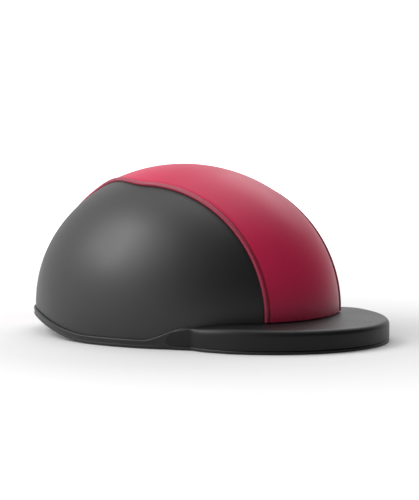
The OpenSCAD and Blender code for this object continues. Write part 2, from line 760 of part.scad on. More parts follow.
module ear_divider_left() {
    in_frame() color(moulded_black) on_flap() ear_divider();
}

module front_strap_right() {
    in_frame() color(webbing_black) mirror([0, 1, 0]) on_flap() flap_strap(anchor_x[0]);
}

module rear_strap_right() {
    in_frame() color(webbing_black) mirror([0, 1, 0]) on_flap() flap_strap(anchor_x[1]);
}

module ear_divider_right() {
    in_frame() color(moulded_black) mirror([0, 1, 0]) on_flap() ear_divider();
}

module chin_strip(from, to, t = webbing_t, w = chin_w - 4) {
    translate([-w / 2, chin_offset - t / 2, -to]) cube([w, t, to - from]);
}

module chin_strap_left() {
    in_frame() color(webbing_black) on_chin() chin_strip(2, 31);
}

// Soft sleeve round the left chin strap, where it passes under the chin
module chin_pad() {
    in_frame() color(lining_grey) on_chin() difference() {
        translate([0, chin_offset + 3.1, -17]) rotate([90, 0, 0])
            linear_extrude(6.2) rounded_rect([24, 22], 4);
        chin_strip(0, 40, webbing_t + 0.3, chin_w - 3.6);
    }
}

// Female half of the side-release buckle; its mouth faces away from the strap
module buckle_socket() {
    in_frame() color(moulded_black) on_chin() difference() {
        translate([0, chin_offset + buckle_t / 2, -44.6]) rotate([90, 0, 0])
            linear_extrude(buckle_t) rounded_rect([26, 28.6], 3);
        translate([-9, chin_offset - 2.4, -60]) cube([18, 4.8, 22]);
        for (s = [-1, 1]) translate([s * 11.5, chin_offset, -46.5]) cube([6, 4.8, 9], center = true);
        translate([-8.2, chin_offset - 1, -34]) cube([16.4, 2, 8]);
    }
}

module chin_strap_right() {
    in_frame() color(webbing_black) mirror([0, 1, 0]) on_chin() chin_strip(2, 36);
}

// Loop that holds the strap's free end
module chin_keeper() {
    in_frame() color(webbing_black) mirror([0, 1, 0]) on_chin() difference() {
        translate([-10, chin_offset - 2, -9]) cube([20, 4, 5]);
        chin_strip(0, 20, webbing_t + 0.4, chin_w - 3.2);
    }
}

// Male half of the buckle: a bar for the strap and the guide tongue
module buckle_plug() {
    in_frame() color(moulded_black) mirror([0, 1, 0]) on_chin() difference() {
        union() {
            translate([0, chin_offset + 3.3, -38]) rotate([90, 0, 0])
                linear_extrude(6.6) rounded_rect([24, 10], 3);
            translate([-2.2, chin_offset - 1.9, -57]) cube([4.4, 3.8, 16]);
        }
        translate([-8.2, chin_offset - 1, -37]) cube([16.4, 2, 8]);
        for (s = [-1, 1])
            translate([s * 7, chin_offset - 5, -42]) rotate([-90, 0, 0]) cylinder(h = 10, r = 1.9);
    }
}

// Springy arm with the button that is pinched to open the buckle
module prong(side) {
    arm = [[5.9, -57], [8, -57], [10, -53.5], [10.4, -50], [8.3, -48], [8.1, -41.4], [5.9, -41.4]];
    mirror([0, 1, 0]) on_chin() translate([0, chin_offset + 1.9, 0]) rotate([90, 0, 0]) linear_extrude(3.8) {
        translate([side * 7, -42]) circle(1.6);
        polygon([for (i = side > 0 ? [0:6] : [6:-1:0]) [side * arm[i].x, arm[i].y]]);
    }
}

module prong_front() {
    in_frame() color(moulded_black) prong(1);
}

module prong_rear() {
    in_frame() color(moulded_black) prong(-1);
}

// Three-bar slider that sets the length of the right chin strap
module chin_adjuster() {
    in_frame() color(moulded_black) mirror([0, 1, 0]) on_chin() difference() {
        translate([0, chin_offset + 2.4, -15]) rotate([90, 0, 0])
            linear_extrude(4.8) rounded_rect([23, 9], 2);
        chin_strip(0, 40, webbing_t + 0.4, chin_w - 3.2);
        for (v = [-13, -17]) translate([0, chin_offset, v]) cube([17, 10, 1.8], center = true);
    }
}

outer_shell();
side_cover_left();
side_cover_right();
centre_panel();
piping_left();
piping_right();
edge_trim();
peak_cover();
peak_core();
peak_lining();
peak_binding();
peak_rivets();
impact_liner();
crown_pad();
front_pad();
side_pad_left();
side_pad_right();
harness_anchors();
harness_rivets();
strap_tails();
tail_rivets();
cradle_track();
track_feet();
track_screws();
gear_housing();
housing_cover();
housing_screws();
cradle_frame();
nape_pad();
dial_knob();
dial_shaft();
dial_screw();
band_left();
band_right();
front_strap_left();
rear_strap_left();
ear_divider_left();
front_strap_right();
rear_strap_right();
ear_divider_right();
chin_strap_left();
chin_pad();
buckle_socket();
chin_strap_right();
chin_keeper();
buckle_plug();
prong_front();
prong_rear();
chin_adjuster();
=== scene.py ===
import math

import bpy
import numpy as np
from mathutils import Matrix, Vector


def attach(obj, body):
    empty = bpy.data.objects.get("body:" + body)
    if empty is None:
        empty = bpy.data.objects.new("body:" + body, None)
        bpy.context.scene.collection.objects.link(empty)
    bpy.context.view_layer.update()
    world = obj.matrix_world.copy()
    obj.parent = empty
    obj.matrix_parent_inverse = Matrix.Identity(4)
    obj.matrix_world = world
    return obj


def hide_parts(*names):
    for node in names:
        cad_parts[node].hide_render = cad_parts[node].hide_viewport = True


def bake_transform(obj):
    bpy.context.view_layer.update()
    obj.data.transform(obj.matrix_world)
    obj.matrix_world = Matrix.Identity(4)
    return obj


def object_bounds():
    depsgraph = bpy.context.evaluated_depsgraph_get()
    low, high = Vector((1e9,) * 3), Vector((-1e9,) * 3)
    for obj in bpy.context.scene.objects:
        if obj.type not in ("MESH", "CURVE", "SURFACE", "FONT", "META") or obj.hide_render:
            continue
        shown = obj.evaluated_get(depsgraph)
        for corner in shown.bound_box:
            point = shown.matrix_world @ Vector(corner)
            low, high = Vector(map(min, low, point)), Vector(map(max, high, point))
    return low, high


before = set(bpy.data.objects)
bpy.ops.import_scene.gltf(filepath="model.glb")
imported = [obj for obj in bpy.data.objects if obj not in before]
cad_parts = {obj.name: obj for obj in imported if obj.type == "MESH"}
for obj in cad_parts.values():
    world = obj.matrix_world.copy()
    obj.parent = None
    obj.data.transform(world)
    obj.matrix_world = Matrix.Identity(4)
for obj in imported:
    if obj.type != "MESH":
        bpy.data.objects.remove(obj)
cad_box = [list(corner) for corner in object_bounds()]

# --- Driving sizes, in millimetres, in the crown's own frame ------------------
# The crown's middle is the origin here; to_row() moves points into the row frame, in metres.

# How far the trim stands out from the crown, and the peak at its front
TRIM_PROUD = 1.8
PEAK_LEN = 50.0
# The crown's half length and half width, its height above the equator, and the equator's height
CROWN_A, CROWN_B, DOME_H, EQUATOR = 131.0, 109.0, 113.0, 24.0
CROWN_X = (TRIM_PROUD - PEAK_LEN) / 2
# Below the equator a height angle of one radian is this much wall
MM_PER_RAD = DOME_H
# How far the wall draws in at the floor; how far the rim rises at the back, and over which bearings
WALL_TUCK = 2.0
REAR_RISE, RISE_FROM, RISE_OVER = 13.0, 97.0, 45.0
# Dome grids stop at this height angle and close over a point at 90
TOP_ANGLE = 86.0
# Thicknesses of the layers, the gap between them, and each layer's offset from the crown's surface
COVER_T, SHELL_T, LINER_T, PAD_T, GAP = 1.0, 2.6, 18.2, 6.2, 0.6
SHELL_OUT = -COVER_T - GAP
SHELL_IN = SHELL_OUT - SHELL_T
LINER_OUT = SHELL_IN - GAP
LINER_IN = LINER_OUT - LINER_T
PAD_OUT = LINER_IN - 0.8
# Panel: width in front and at the back, the length it narrows over, and how proud it is
PANEL_W, PANEL_REAR_W, PANEL_TAPER, PANEL_RAISE = 97.0, 33.0, 82.0, 1.5
# Trim: height at the front and sides, degrees it falls over, and thickness under the shell's edge
TRIM_H, TRIM_SIDE_H, TRIM_FALL, TRIM_FLOOR = 18.5, 7.0, 18.0, 2.0
# Peak: bearing of its ends, fall to its lip, radius of the lip's bend, and reach at its ends
PEAK_ANGLE, PEAK_DROP, PEAK_BEND, PEAK_END = 56.0, 2.0, 5.0, 4.6
RIVET_BEARINGS = (-35, 0, 35)
# Harness: where the straps are anchored along x, and where they fold
ANCHOR_X = (42.0, -26.0)
FOLD_Y, FOLD_Z = 64.0, 2.9
# Height of the folded chin straps at rest
CHIN_Z = 9.7


def to_row(points):
    """Crown-frame millimetres to row-frame metres."""
    return (np.asarray(points, float) + [CROWN_X, 0, 0]) / 1000


def smooth(t):
    """0 up to 0, 1 from 1 on, and an even S between them."""
    u = np.clip(t, 0, 1)
    return u * u * (3 - 2 * u)


def rim_z(phi):
    """Height of the rim's lower edge."""
    return REAR_RISE * smooth((np.abs(phi) - RISE_FROM) / RISE_OVER)


def trim_top(phi):
    """Height of the trim's upper edge, which falls past the ends of the peak."""
    fall = smooth((np.abs(phi) - PEAK_ANGLE - 1) / TRIM_FALL)
    return rim_z(phi) + TRIM_H + (TRIM_SIDE_H - TRIM_H) * fall


def tuck_at(z):
    """How far the wall has drawn in at height z."""
    return WALL_TUCK * np.maximum(0, 1 - z / EQUATOR) ** 2


def skin(phi, angle, off):
    """Points off outside the crown at bearings phi and height angles, both in degrees."""
    phi, angle = np.radians(phi), np.radians(angle)
    up = np.maximum(angle, 0)
    z = EQUATOR + np.where(angle >= 0, (DOME_H + off) * np.sin(up), MM_PER_RAD * angle)
    tuck = tuck_at(z)
    return np.stack(
        [
            ((CROWN_A + off) * np.cos(up) - tuck) * np.cos(phi),
            ((CROWN_B + off) * np.cos(up) - tuck) * np.sin(phi),
            z,
        ],
        -1,
    )


def angle_at(z, off):
    """Height angle of height z on the surface that lies off outside the crown."""
    above = np.degrees(np.arcsin(np.clip((z - EQUATOR) / (DOME_H + off), 0, 1)))
    return np.where(z >= EQUATOR, above, np.degrees((z - EQUATOR) / MM_PER_RAD))


def panel_half(x):
    """Half width of the centre panel at a distance x ahead of the crown's middle."""
    return (PANEL_W + (PANEL_REAR_W - PANEL_W) * smooth(-x / PANEL_TAPER)) / 2


def bearings(count):
    """Evenly spaced bearings all the way round, from -180 to 180 degrees, starting at the front."""
    phi = np.arange(count) * 360 / count
    return np.where(phi > 180, phi - 360, phi)


def bisect(test, low, high, steps=30):
    """Elementwise: the place between low and high where test stops being true."""
    low, high = np.broadcast_arrays(np.asarray(low, float), np.asarray(high, float))
    low, high = low.copy(), high.copy()
    for _ in range(steps):
        mid = (low + high) / 2
        held = test(mid)
        low, high = np.where(held, mid, low), np.where(held, high, mid)
    return (low + high) / 2


def edge_angle(phi, gap):
    """Height angle where the meridian of bearing phi meets the panel's edge."""
    c, s = np.cos(np.radians(phi)), np.sin(np.radians(phi))
    return bisect(
        lambda t: CROWN_B * np.cos(np.radians(t)) * s
        > panel_half(CROWN_A * np.cos(np.radians(t)) * c) + gap,
        np.zeros_like(phi),
        90,
    )


def edge_y(alpha):
    """Distance of the panel's edge from the middle at angle alpha over the top."""
    c = np.cos(np.radians(alpha))
    return bisect(
        lambda y: y < panel_half(CROWN_A * np.sqrt(np.maximum(0, 1 - (y / CROWN_B) ** 2)) * c),
        np.zeros_like(alpha),
        100,
    )


def over_top(alpha, y, off):
    """Points at angle alpha over the top, y from the middle; past 180 they run down the back wall."""
    down = np.maximum(0, alpha - 180) + np.maximum(0, -alpha)
    a = np.radians(np.clip(alpha, 0, 180))
    k = np.sqrt(np.maximum(0, 1 - (y / (CROWN_B + off)) ** 2))
    z = EQUATOR + (DOME_H + off) * k * np.sin(a) - down
    return np.stack([((CROWN_A + off) * k - tuck_at(z)) * np.cos(a), y + 0 * a, z], -1)


def normal_at(p):
    """The crown's outward direction at p."""
    n = p * [CROWN_A**-2, CROWN_B**-2, DOME_H**-2]
    n[..., 2] = np.maximum(0, p[..., 2] - EQUATOR) / DOME_H**2
    return n / np.linalg.norm(n, axis=-1, keepdims=True)


# --- Mesh building ------------------------------------------------------------


def mesh_object(name, points, faces, material):
    """A smooth mesh object from crown-frame millimetres."""
    mesh = bpy.data.meshes.new(name)
    mesh.from_pydata(to_row(points).tolist(), [], [list(map(int, f)) for f in faces])
    mesh.update()
    mesh.shade_smooth()
    mesh.materials.append(material)
    obj = bpy.data.objects.new(name, mesh)
    bpy.context.collection.objects.link(obj)
    return obj


def make(name, points, faces, body, material, sharp=40, replaces=()):
    """A mesh piece that rides on a body and stands for the CAD nodes in replaces."""
    obj = mesh_object(name, points, faces, material)
    obj.data.set_sharp_from_angle(angle=math.radians(sharp))
    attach(obj, body)
    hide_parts(*replaces)
    return obj


def closed_between(outer, inner, ring=False, tops=None):
    """Points and faces of the closed solid between two grids of one size, the first outside.

    A ring's columns close on each other. tops are two points, over the outer and the inner grid's last row.
    """
    m, n = outer.shape[:2]
    last = n if ring else n - 1
    t, e = m - 1, n - 1

    def p(i, j):
        return i * n + j % n

    def q(i, j):
        return m * n + p(i, j)

    points = [outer.reshape(-1, 3), inner.reshape(-1, 3)]
    faces = []
    for j in range(last):
        for i in range(m - 1):
            faces.append((p(i, j), p(i, j + 1), p(i + 1, j + 1), p(i + 1, j)))
            faces.append((q(i, j), q(i + 1, j), q(i + 1, j + 1), q(i, j + 1)))
        faces.append((p(0, j + 1), p(0, j), q(0, j), q(0, j + 1)))
        if tops is None:
            faces.append((p(t, j), p(t, j + 1), q(t, j + 1), q(t, j)))
        else:
            faces.append((p(t, j), p(t, j + 1), 2 * m * n))
            faces.append((q(t, j + 1), q(t, j), 2 * m * n + 1))
    if not ring:
        for i in range(m - 1):
            faces.append((p(i, 0), p(i + 1, 0), q(i + 1, 0), q(i, 0)))
            faces.append((p(i + 1, e), p(i, e), q(i, e), q(i + 1, e)))
    if tops is not None:
        points.append(np.asarray(tops, float))
    return np.concatenate(points), faces


def swept(sections, ring=False):
    """Points and faces of a solid swept through sections, each anticlockwise along the way of travel."""
    m, k = sections.shape[:2]

    def p(i, j):
        return (i % m) * k + j % k

    faces = [
        (p(i, j), p(i + 1, j), p(i + 1, j + 1), p(i, j + 1))
        for i in range(m if ring else m - 1)
        for j in range(k)
    ]
    if not ring:
        faces += [tuple(p(0, j) for j in range(k)), tuple(p(m - 1, j) for j in range(k - 1, -1, -1))]
    return sections.reshape(-1, 3), faces


def tube(path, right, up, radius, sides=16):
    """A closed tube along a path, with its cross axes given at each point."""
    b = np.radians(np.arange(sides) * 360 / sides)
    ring = np.cos(b)[None, :, None] * right[:, None] + np.sin(b)[None, :, None] * up[:, None]
    return swept(path[:, None] + radius * ring)


def set_at(phi, section):
    """A section of (offset from the crown, z) pairs, set at a bearing."""
    c, s = math.cos(math.radians(phi)), math.sin(math.radians(phi))
    o, z = section[:, 0], section[:, 1]
    return np.stack([(CROWN_A + o) * c, (CROWN_B + o) * s, z], -1)


def arc(cx, cz, r, first, last, steps):
    """Points of an arc from angle first to last, in degrees."""
    a = np.radians(np.linspace(first, last, steps))
    return np.stack([cx + r * np.cos(a), cz + r * np.sin(a)], -1)


# --- Materials ----------------------------------------------------------------


class Finish:
    """A procedural material: a Principled shader, with helpers that add detail to it."""

    def __init__(self, name, color, roughness, **inputs):
        self.mat = bpy.data.materials.new(name)
        self.mat.use_nodes = True
        self.tree = self.mat.node_tree
        self.bsdf = self.tree.nodes["Principled BSDF"]
        self.color = (*color, 1)
        self.bsdf.inputs["Base Color"].default_value = self.color
        self.bsdf.inputs["Roughness"].default_value = roughness
        for key, value in inputs.items():
            self.bsdf.inputs[key.replace("_", " ")].default_value = value
        self.coords = self.node("ShaderNodeTexCoord").outputs["Object"]
        self.normal = None

    def node(self, kind, **values):
        """A new node; each value is one of its properties or, with _ for a space, one of its inputs."""
        n = self.tree.nodes.new(kind)
        for key, value in values.items():
            if hasattr(n, key):
                setattr(n, key, value)
            else:
                n.inputs[key.replace("_", " ")].default_value = value
        return n

    def link(self, source, target):
        self.tree.links.new(source, target)

    def noise(self, scale, detail=3.0, stretch=None):
        """Soft noise on the object's own coordinates, which stretch can scale unevenly."""
        n = self.node("ShaderNodeTexNoise", Scale=scale, Detail=detail)
        self.link(self.stretched(stretch), n.inputs["Vector"])
        return n.outputs["Fac"]

    def stretched(self, stretch):
        """The object's own coordinates, scaled by stretch where there is one."""
        if stretch is None:
            return self.coords
        m = self.node("ShaderNodeMapping")
        m.inputs["Scale"].default_value = stretch
        self.link(self.coords, m.inputs["Vector"])
        return m.outputs["Vector"]

    def cells(self, scale, feature="F1"):
        """Distances in a pattern of cells."""
        n = self.node("ShaderNodeTexVoronoi", Scale=scale, feature=feature)
        self.link(self.coords, n.inputs["Vector"])
        return n.outputs["Distance"]

    def ramped(self, value, **ends):
        """The value mapped from one range to another."""
        ramp = self.node("ShaderNodeMapRange", **ends)
        self.link(value, ramp.inputs["Value"])
        return ramp.outputs["Result"]

    def mottle(self, scale, amount):
        """Broad variation of the colour, amount lighter and darker."""
        level = self.ramped(self.noise(scale, 4.0), To_Min=1 - amount, To_Max=1 + amount)
        mix = self.node("ShaderNodeVectorMath", operation="SCALE")
        mix.inputs[0].default_value = self.color[:3]
        self.link(level, mix.inputs["Scale"])
        self.link(mix.outputs["Vector"], self.bsdf.inputs["Base Color"])
        return self

    def rough(self, scale, low, high):
        """Roughness that varies between low and high."""
        level = self.ramped(self.noise(scale), To_Min=low, To_Max=high)
        self.link(level, self.bsdf.inputs["Roughness"])
        return self

    def bump(self, height, distance, strength=1.0):
        """Adds relief to what is there already: distance is its depth in metres where height is 1."""
        n = self.node("ShaderNodeBump", Strength=strength, Distance=distance)
        self.link(height, n.inputs["Height"])
        if self.normal is not None:
            self.link(self.normal, n.inputs["Normal"])
        self.normal = n.outputs["Normal"]
        self.link(self.normal, self.bsdf.inputs["Normal"])
        return self

    def weave(self, across, along, distance):
        """Woven threads on the piece's UVs, which are in metres: u along the length, v across."""
        uv = self.node("ShaderNodeTexCoord").outputs["UV"]
        waves = []
        for direction, scale in (("X", along), ("Y", across)):
            w = self.node("ShaderNodeTexWave", bands_direction=direction, wave_profile="SIN", Scale=scale)
            self.link(uv, w.inputs["Vector"])
            waves.append(w.outputs["Fac"])
        both = self.node("ShaderNodeMath", operation="MULTIPLY")
        self.link(waves[0], both.inputs[0])
        self.link(waves[1], both.inputs[1])
        return self.bump(both.outputs["Value"], distance)


def satin(name, color, low, high, grain=900.0, **inputs):
    """Satin lacquer: slightly uneven gloss and a very fine orange peel."""
    f = Finish(name, color, (low + high) / 2, **inputs)
    f.mottle(18, 0.06).rough(35, low, high)
    f.bump(f.noise(grain, 2.0), 0.00005, 0.5)
    f.bump(f.noise(60, 2.0), 0.00025, 0.25)
    return f.mat


def moulded(name, color, low=0.38, high=0.52):
    """Spark-textured moulded plastic."""
    f = Finish(name, color, (low + high) / 2)
    f.mottle(40, 0.08).rough(90, low, high)
    f.bump(f.cells(2600), 0.00004, 0.5)
    return f.mat


def cloth_finish(name, color, rough=0.9, sheen=0.3, scale=1500.0):
    """Brushed knit: a fine loop texture and a soft sheen."""
    f = Finish(name, color, rough, Sheen_Weight=sheen, Sheen_Roughness=0.5)
    f.mottle(60, 0.18)
    f.bump(f.cells(scale), 0.00025, 0.8)
    f.bump(f.noise(150, 3.0), 0.0004, 0.3)
    return f.mat


def webbing_finish(name, color):
    """Ribbed webbing, woven along its length."""
    f = Finish(name, color, 0.75, Sheen_Weight=0.25, Sheen_Roughness=0.5)
    f.mottle(200, 0.2)
    f.weave(220, 330, 0.0003)
    return f.mat


def foam_finish(name, color):
    """Moulded bead foam: packed cells with fine seams between them."""
    f = Finish(name, color, 0.8)
    f.mottle(120, 0.07)
    f.bump(f.ramped(f.cells(330, "DISTANCE_TO_EDGE"), From_Max=0.12), 0.0003, 0.6)
    return f.mat


def metal_finish(name, color, rough):
    """Plated steel, lightly brushed."""
    f = Finish(name, color, rough, Metallic=1.0)
    f.rough(300, rough - 0.08, rough + 0.1).bump(f.noise(500, 2.0, (1, 1, 8)), 0.00003, 0.4)
    return f.mat


def leather_finish(name, color):
    """Grained leather."""
    f = Finish(name, color, 0.5)
    f.mottle(90, 0.15).rough(140, 0.42, 0.6)
    f.bump(f.cells(900), 0.0002, 0.6)
    return f.mat


BLACK = satin("satin_black", (0.008, 0.008, 0.0085), 0.42, 0.52, Specular_IOR_Level=0.56)
PEAK_BLACK = satin("peak_black", (0.007, 0.007, 0.0075), 0.40, 0.50, grain=1400.0, Specular_IOR_Level=0.28)
CRIMSON = satin("satin_crimson", (0.50, 0.018, 0.070), 0.38, 0.48, Specular_IOR_Level=0.20)
PIPING = satin("piping_crimson", (0.27, 0.012, 0.040), 0.42, 0.55, Specular_IOR_Level=0.5)
TRIM = satin("trim_black", (0.012, 0.012, 0.0125), 0.40, 0.52, Specular_IOR_Level=0.4)
SHELL = moulded("shell_plastic", (0.02, 0.02, 0.021), 0.25, 0.4)
MOULDED = moulded("moulded_black", (0.028, 0.028, 0.03))
RUBBER = moulded("dial_rubber", (0.035, 0.035, 0.037), 0.6, 0.75)
FOAM = foam_finish("bead_foam", (0.62, 0.62, 0.60))
PADDING = cloth_finish("pad_fabric", (0.035, 0.036, 0.042))
LINING = cloth_finish("peak_lining", (0.03, 0.03, 0.034), sheen=0.1, scale=2400.0)
WEBBING = webbing_finish("webbing", (0.018, 0.018, 0.02))
WEBBING_PLAIN = cloth_finish("keeper_webbing", (0.018, 0.018, 0.02), sheen=0.2, scale=1800.0)
STEEL = metal_finish("plated_steel", (0.6, 0.6, 0.61), 0.35)
LEATHER = leather_finish("chin_leather", (0.03, 0.028, 0.028))


# --- Crown --------------------------------------------------------------------


def outer_shell():
    """The hard shell under the covers: a full dome."""
    phi = bearings(144)
    share = np.linspace(0, 1, 40)[:, None]

    def grid(off):
        first = angle_at(rim_z(phi) + TRIM_FLOOR + GAP, off)
        return skin(phi[None] + 0 * share, first + (TOP_ANGLE - first) * share, off)

    tops = [skin(0, 90, SHELL_OUT), skin(0, 90, SHELL_IN)]
    points, faces = closed_between(grid(SHELL_OUT), grid(SHELL_IN), True, tops)
    make("shell", points, faces, "shell", SHELL, replaces=["outer_shell"])


def side_covers():
    """The two bonded covers, between trim and panel; the right one mirrors the left."""

    def beside_panel(bearing):
        a = np.radians(bearing)
        return CROWN_B * np.sin(a) > panel_half(CROWN_A * np.cos(a))

    # Bearings at which the panel's edge comes down to the equator, ahead and behind
    front = bisect(beside_panel, 89.0, 5.0)
    back = bisect(beside_panel, 91.0, 178.0)
    phi = front + 0.1 + (back - front - 0.2) * (1 - np.cos(np.linspace(0, np.pi, 140))) / 2
    top = np.maximum(0.1, edge_angle(phi, 0.2))
    share = np.linspace(0, 1, 46)[:, None]

    def grid(off):
        first = angle_at(trim_top(phi) - 1.5, off)
        return skin(phi[None] + 0 * share, first + (top - first) * share, off)

    points, faces = closed_between(grid(0), grid(-COVER_T))
    for side, name in ((1, "left"), (-1, "right")):
        mirrored, turned = points * [1, side, 1], [f[::side] for f in faces]
        make("cover_" + name, mirrored, turned, "shell", BLACK,
             replaces=["side_cover_" + name])


def centre_panel():
    """The raised panel, with its long edges rolled over."""
    shoulder = 1.8
    # Past 0 and 180 degrees the panel runs on down the walls, to the trim
    alpha = np.concatenate([[-2.8, -1.4], np.linspace(0, 180, 150), [182, 183.4]])
    width = edge_y(np.clip(alpha, 0, 180)) - 0.15
    near = np.array([0, 0.1, 0.3, 0.6, 1.0, 1.4, 1.8, 2.4])
    rows_out, rows_in = [], []
    for a, w in zip(alpha, width):
        edge = np.concatenate([near, np.linspace(4, 2 * w - 4, 30), 2 * w - near[::-1]])
        e = np.minimum(edge, 2 * w - edge)
        lift = PANEL_RAISE * np.sqrt(1 - (1 - np.minimum(e, shoulder) / shoulder) ** 2)
        rows_out.append(over_top(a, edge - w, lift))
        rows_in.append(over_top(a, edge - w, -COVER_T + 0 * lift))
    points, faces = closed_between(np.array(rows_out), np.array(rows_in))
    make("centre_panel", points, faces, "shell", CRIMSON, replaces=["centre_panel"])


def piping():
    """The bead along each edge of the panel."""
    radius = 1.75
    alpha = np.concatenate([[-2.7, -1.8, -0.9], np.linspace(0, 180, 320), [181.2, 182.4, 183.4]])
    y = edge_y(np.clip(alpha, 0, 180))
    base = over_top(alpha, y + radius, 0.0)
    up = normal_at(base)
    path = base + up * 0.9
    ahead = np.gradient(path, axis=0)
    right = np.cross(ahead, up)
    right /= np.linalg.norm(right, axis=-1, keepdims=True)
    ahead /= np.linalg.norm(ahead, axis=-1, keepdims=True)
    points, faces = tube(path, right, np.cross(right, ahead), radius)
    for side, name in ((1, "left"), (-1, "right")):
        mirrored, turned = points * [1, side, 1], [f[::side] for f in faces]
        make("bead_" + name, mirrored, turned, "shell", PIPING,
             replaces=["piping_" + name])


def edge_trim():
    """The moulded U round the rim: soft corners and a rolled top lip."""
    leg_in, inner = SHELL_OUT + GAP, SHELL_IN - GAP
    # A shallow groove down the outer face: (share of the height, depth)
    groove = ((0.15, 0.2), (0.4, 0.4), (0.7, 0.4), (0.95, 0.3))

    def section(phi):
        zb, zt = float(rim_z(phi)), float(trim_top(phi))
        face = TRIM_PROUD
        leg_top = max(zb + TRIM_FLOOR + 0.4, 3.6)
        line = np.concatenate(
            [
                arc(face - 2, zb + 2, 2, -90, 0, 7),
                [[face - dent, zb + 2 + (zt - zb - 4.6) * share] for share, dent in groove],
                arc(face - 1.1, zt - 1.1, 1.1, 0, 150, 9),
                [[leg_in, zt - 2], [leg_in, (zb + zt) / 2], [leg_in, zb + TRIM_FLOOR]],
                [[inner, zb + TRIM_FLOOR]],
                [[inner, leg_top - 0.3], [inner - 0.3, leg_top], [inner - 1.0, leg_top]],
                [[inner - 1.2, leg_top - 0.3], [inner - 1.2, zb + 0.6], [inner - 0.7, zb]],
            ]
        )
        line[:, 0] -= tuck_at(line[:, 1])
        return line

    points, faces = swept(np.array([set_at(t, section(t)) for t in bearings(240)]), True)
    make("rim_trim", points, faces, "shell", TRIM, sharp=50, replaces=["edge_trim"])


# --- Peak ---------------------------------------------------------------------

# Past this bearing the peak starts to merge into the trim, and past PEAK_BLEND it is gone
PEAK_MERGE, PEAK_BLEND = 42.0, 67.0
FLANGE_IN, FLANGE_OUT = TRIM_PROUD + 0.4, TRIM_PROUD + 2.6
PEAK_FOOT = 3.0


def reach(phi):
    """How far the peak stands out from the crown; past its ends the cover runs out into the trim."""
    arch = np.maximum(0, np.cos(np.radians(phi * 90 / PEAK_ANGLE))) ** 0.8
    body = PEAK_END + (PEAK_LEN - PEAK_END) * arch
    out = smooth((PEAK_BLEND - np.abs(phi)) / (PEAK_BLEND - PEAK_ANGLE + 3))
    hidden = TRIM_PROUD - 0.5
    return hidden + (body - hidden) * out


def seated(phi, line):
    """Near its ends the peak follows the wall's tuck, as the trim does."""
    line[:, 0] -= tuck_at(line[:, 1]) * smooth((abs(phi) - PEAK_MERGE) / 14)
    return line


def peak_profile(phi, inset, root, foot):
    """The peak's outer line in (offset, z): from its root, over the bend, down to its foot."""
    d = float(reach(phi))
    top = float(trim_top(phi)) + 2 - 2.6 * float(smooth((abs(phi) - PEAK_MERGE) / 18))
    fall = PEAK_DROP * d / PEAK_LEN
    r = min(PEAK_BEND, 0.7 * (d - 0.4))
    ri = max(0.2, r - inset)
    lean = math.degrees(math.atan2(fall, d - r))
    bend = arc(d - inset - ri, top - fall - r, ri, 90 - lean, 0, 11)
    start = np.array([root, top - inset - 0.1])
    run = start + (bend[0] - start) * np.linspace(0, 1, 9)[:-1, None]
    side = bend[-1] + (np.array([d - inset, foot]) - bend[-1]) * np.linspace(0, 1, 5)[1:, None]
    return np.concatenate([run, bend, side])


def peak_sweep(section, last, steps):
    """Points and faces of a section swept from bearing -last to last."""
    return swept(np.array([set_at(f, seated(f, section(f))) for f in np.linspace(-last, last, steps)]))


def peak():
    """Cover, moulded core, lining under it and the bound lower edge."""

    def cover(phi):
        outer, inner = (peak_profile(phi, i, 0.4, PEAK_FOOT + 0.2) for i in (0, 1.0))
        return np.concatenate([outer[::-1], inner])

    def core_line(phi):
        line = peak_profile(phi, 1.3, FLANGE_IN, PEAK_FOOT + 0.2)
        return line, lambda x: np.interp(x, line[[0, 8], 0], line[[0, 8], 1]) - 2.0

    def core(phi):
        d = float(reach(phi))
        line, under = core_line(phi)
        flange = min(FLANGE_OUT, (FLANGE_IN + d - 1.3) / 2 - 0.15)
        lip = max(d - 3.3, flange + 0.3)
        bend = max(flange + 0.1, lip - 2)
        inner = [[FLANGE_IN, 4], [flange, 4], [flange, under(flange)], [bend, under(bend)]]
        inner += [[lip - 0.3 * (lip - bend), under(bend) - 0.7], [lip, under(bend) - 2]]
        inner += [[lip, PEAK_FOOT + 0.2]]
        return np.concatenate([line[::-1], inner])

    def lining(phi):
        first, last = FLANGE_OUT + 0.6, float(reach(phi)) - 7
        under = core_line(phi)[1]
        x = np.linspace(last, first, 9)
        top = np.stack([x, under(x) - 0.3], -1)
        puff = 0.25 * np.sin(np.linspace(0, math.pi, 9))[::-1, None] * [0, 1]
        return np.concatenate([top, (top - [0, 0.9] - puff)[::-1]])

    def binding(phi):
        d = float(reach(phi))
        inner = max(d - 3.8, FLANGE_IN - 0.6) if abs(phi) < PEAK_ANGLE else d - 2.0
        w = d - inner
        r = min(1.3, w / 2.1)
        lower = ((inner + r, r, 180), (d - r, r, 270))
        upper = ((d - r, PEAK_FOOT - r, 0), (inner + r, PEAK_FOOT - r, 90))
        return np.concatenate([arc(x, z, r, a, a + 90, 5) for x, z, a in lower + upper])

    parts = (
        ("smooth_", "peak_cover", cover, PEAK_BLEND, 181, PEAK_BLACK, "peak_satin"),
        ("smooth_", "peak_core", core, PEAK_ANGLE, 121, MOULDED, "moulded_black"),
        ("soft_", "peak_lining", lining, 44.0, 97, LINING, "peak_lining"),
        ("smooth_", "peak_binding", binding, PEAK_BLEND - 3, 171, TRIM, "trim_black"),
    )
    for kind, node, section, last, steps, finish, slot in parts:
        points, faces = peak_sweep(section, last, steps)
        make(kind + node, points, faces, "shell", finish, sharp=60, replaces=[node])


# --- Liner and pads -----------------------------------------------------------


